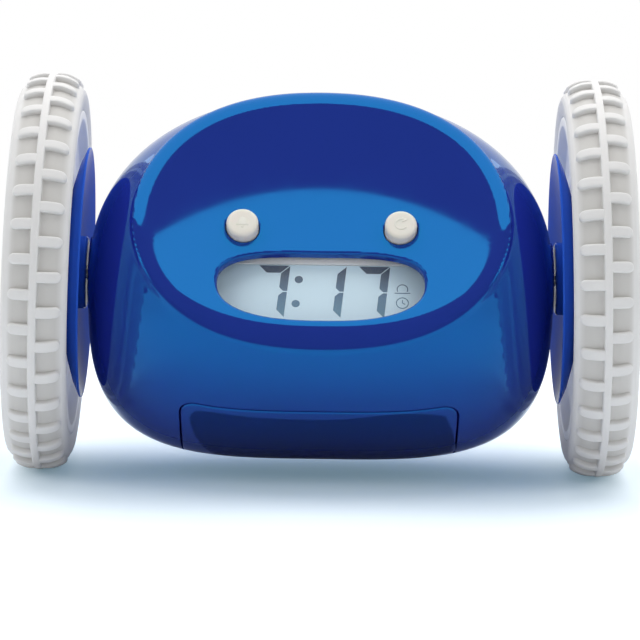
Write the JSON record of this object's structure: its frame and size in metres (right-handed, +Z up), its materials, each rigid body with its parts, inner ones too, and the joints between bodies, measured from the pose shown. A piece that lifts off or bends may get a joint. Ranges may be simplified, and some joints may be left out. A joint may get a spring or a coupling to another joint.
{
  "type": "runaway alarm clock",
  "caption": "Alarm clock with a glossy blue barrel body, a concave face with eye-like buttons and an LCD, rolling on large white motor-driven wheels with a bar tread.",
  "frame": {"origin": "on the floor, directly below the middle of the axle line", "axes": "+X to the right along the axles, -Y to the front where the face looks, +Z up"},
  "size_m": [0.1386, 0.0888, 0.0889],
  "materials": {
    "blue_plastic": "glossy",
    "white_rubber": "satin",
    "white_plastic": "satin",
    "cream_plastic": "satin",
    "clear_plastic": "polished",
    "lcd_glass": "polished",
    "pink_rubber": "matte",
    "circuit_board": "satin",
    "black_plastic": "matte",
    "grey_plastic": "matte",
    "cell_jacket": "satin",
    "brass": "brushed",
    "magnet": "matte",
    "steel": "brushed"
  },
  "bodies": {
    "body": {"front_shell": "blue_plastic", "rear_shell": "blue_plastic", "lcd_lens": "clear_plastic", "lcd_glass": "lcd_glass", "lcd_frame": "white_plastic", "lcd_connectors": "pink_rubber", "main_board": "circuit_board", "board_chips": "black_plastic", "face_switches": "black_plastic", "snooze_board": "circuit_board", "snooze_switch": "black_plastic", "rear_board": "circuit_board", "slide_switch_cases": "steel", "speaker": "black_plastic", "speaker_cone": "grey_plastic", "battery_tray": "black_plastic", "battery_cells": "cell_jacket", "battery_contacts": "steel", "battery_springs": "steel", "left_gearbox_case": "white_plastic", "right_gearbox_case": "white_plastic", "left_gearbox_cover": "white_plastic", "right_gearbox_cover": "white_plastic", "gear_pins": "steel", "axle_bushes": "brass", "motor_cans": "steel", "motor_caps": "black_plastic", "motor_magnets": "magnet", "casing_screws": "steel", "board_screws": "steel"},
    "battery_door": {"battery_door": "blue_plastic"},
    "left_button": {"left_button": "cream_plastic"},
    "right_button": {"right_button": "cream_plastic"},
    "snooze_bar": {"snooze_bar": "cream_plastic"},
    "alarm_slider": {"alarm_slider": "cream_plastic"},
    "wheels_slider": {"wheels_slider": "cream_plastic"},
    "left_wheel": {"left_tyre": "white_rubber", "left_wheel_rim": "white_plastic", "left_saucer": "blue_plastic", "left_wheel_cover": "blue_plastic", "left_wheel_cap": "blue_plastic", "left_wheel_screw": "steel", "left_axle": "steel", "left_output_gear": "white_plastic"},
    "left_middle_gear": {"left_middle_gear": "white_plastic"},
    "left_motor": {"left_motor_rotor": "steel", "left_pinion": "brass"},
    "right_wheel": {"right_tyre": "white_rubber", "right_wheel_rim": "white_plastic", "right_saucer": "blue_plastic", "right_wheel_cover": "blue_plastic", "right_wheel_cap": "blue_plastic", "right_wheel_screw": "steel", "right_axle": "steel", "right_output_gear": "white_plastic"},
    "right_middle_gear": {"right_middle_gear": "white_plastic"},
    "right_motor": {"right_motor_rotor": "steel", "right_pinion": "brass"}
  },
  "joints": [
    {"name": "left_wheel_spin", "type": "hinge", "parent": "body", "child": "left_wheel", "pos_m": [-0.06, 0, 0.0444], "axis": [0.9997, 0, -0.0262], "continuous": true},
    {"name": "left_middle_gear_spin", "type": "hinge", "parent": "body", "child": "left_middle_gear", "pos_m": [-0.03719, 0.00967, 0.0367], "axis": [0.9997, 0, -0.0262], "continuous": true},
    {"name": "left_motor_spin", "type": "hinge", "parent": "body", "child": "left_motor", "pos_m": [-0.02049, 0.01401, 0.02507], "axis": [0.9997, 0, -0.0262], "continuous": true},
    {"name": "right_wheel_spin", "type": "hinge", "parent": "body", "child": "right_wheel", "pos_m": [0.06, 0, 0.0444], "axis": [0.9997, 0, 0.0262], "continuous": true},
    {"name": "right_middle_gear_spin", "type": "hinge", "parent": "body", "child": "right_middle_gear", "pos_m": [0.03719, 0.00967, 0.0367], "axis": [0.9997, 0, 0.0262], "continuous": true},
    {"name": "right_motor_spin", "type": "hinge", "parent": "body", "child": "right_motor", "pos_m": [0.02049, 0.01401, 0.02507], "axis": [0.9997, 0, 0.0262], "continuous": true},
    {"name": "left_button_press", "type": "slide", "parent": "body", "child": "left_button", "axis": [0, 0.8039, -0.5948], "range_m": [0, 0.001], "stiffness_N_per_m": 600, "springref_m": -0.001},
    {"name": "right_button_press", "type": "slide", "parent": "body", "child": "right_button", "axis": [0, 0.8039, -0.5948], "range_m": [0, 0.001], "stiffness_N_per_m": 600, "springref_m": -0.001},
    {"name": "snooze_press", "type": "slide", "parent": "body", "child": "snooze_bar", "axis": [0, -0.4067, -0.9135], "range_m": [0, 0.001], "stiffness_N_per_m": 600, "springref_m": -0.001},
    {"name": "battery_door_lift", "type": "slide", "parent": "body", "child": "battery_door", "axis": [0, -0.4924, -0.8704], "range_m": [0, 0.012]},
    {"name": "alarm_slide", "type": "slide", "parent": "body", "child": "alarm_slider", "axis": [1, 0, 0], "range_m": [0, 0.004]},
    {"name": "wheels_slide", "type": "slide", "parent": "body", "child": "wheels_slider", "axis": [1, 0, 0], "range_m": [0, 0.004]}
  ],
  "couplings": [
    {"joint": "left_middle_gear_spin", "follows": "left_wheel_spin", "ratio": -3},
    {"joint": "left_motor_spin", "follows": "left_wheel_spin", "ratio": 9},
    {"joint": "right_middle_gear_spin", "follows": "right_wheel_spin", "ratio": -3},
    {"joint": "right_motor_spin", "follows": "right_wheel_spin", "ratio": 9}
  ]
}
